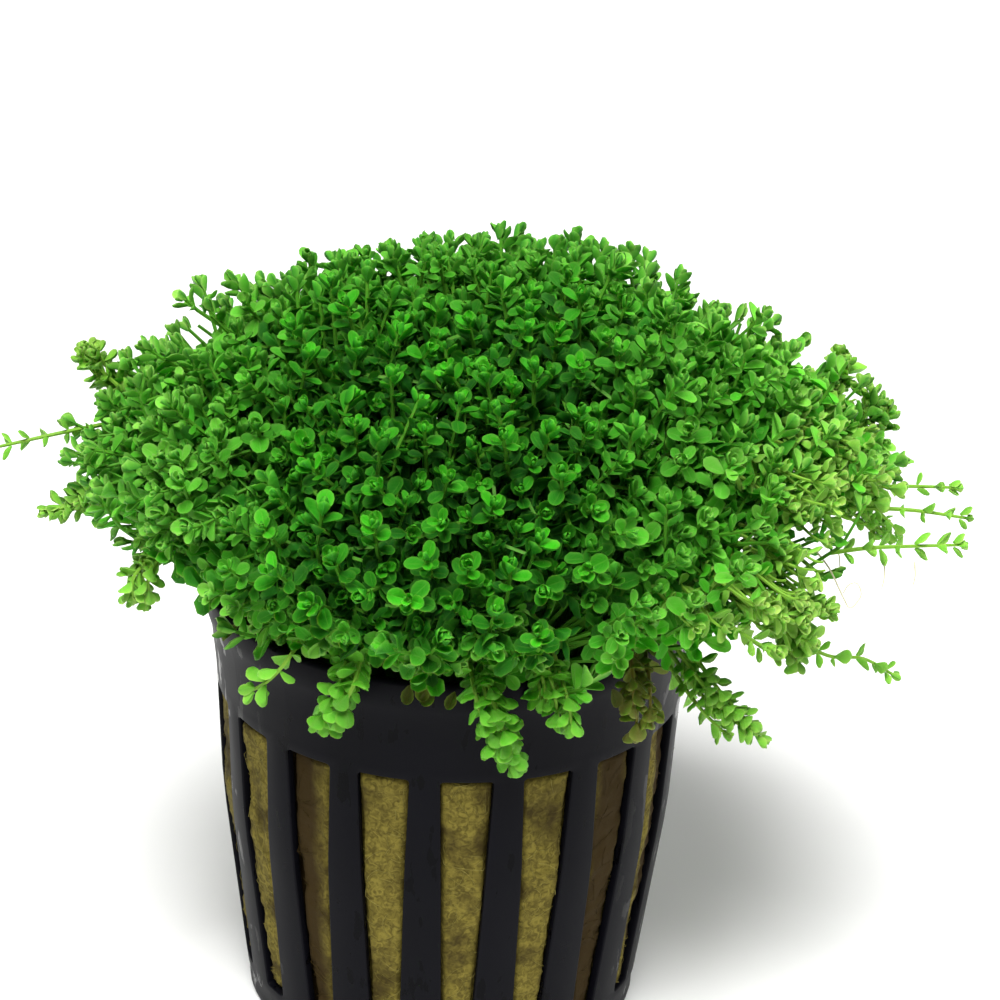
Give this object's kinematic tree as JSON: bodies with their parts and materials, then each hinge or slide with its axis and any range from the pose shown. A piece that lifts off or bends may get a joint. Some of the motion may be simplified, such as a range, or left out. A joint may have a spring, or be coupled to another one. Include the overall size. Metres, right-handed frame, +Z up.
{
  "type": "potted dwarf baby tears",
  "caption": "Cushion of small round leaves on creeping stems, growing over the lip of a small round slotted net pot from a plug of rock wool.",
  "frame": {"origin": "centre of the pot's underside, on the surface it stands on", "axes": "+Z up along the pot's axis, -Y towards the front, +X to the right along the widest spread of the shoots"},
  "size_m": [0.1091, 0.0892, 0.0891],
  "materials": {
    "pot_plastic": "moulded polypropylene, satin, blue-black",
    "rock_wool": "wet pressed mineral fibre, olive brown",
    "leaf": "fresh leaf, thin wet shine",
    "runner_leaf": "young yellow-green leaf and stem",
    "old_leaf": "old olive and brown leaf"
  },
  "bodies": {
    "root": {"net_pot": "pot_plastic", "rock_wool": "rock_wool", "leafy_cushion": "leaf", "left_runner": "runner_leaf", "left_upper_shoot": "runner_leaf", "left_low_shoot": "runner_leaf", "left_hanging_shoot": "runner_leaf", "front_left_runner": "runner_leaf", "front_left_hanging_shoot": "runner_leaf", "front_hanging_shoot": "runner_leaf", "front_hanging_side_shoot": "runner_leaf", "old_brown_shoot": "old_leaf", "lower_right_shoot": "runner_leaf", "lower_right_runner": "runner_leaf", "right_runner_high": "runner_leaf", "right_runner_middle": "runner_leaf", "right_runner_low": "runner_leaf", "right_upper_shoot": "runner_leaf", "right_edge_shoot": "runner_leaf", "right_skirt_shoot": "runner_leaf", "right_outer_skirt_shoot": "runner_leaf", "back_hanging_shoot": "runner_leaf", "back_right_runner": "runner_leaf"}
  },
  "joints": []
}
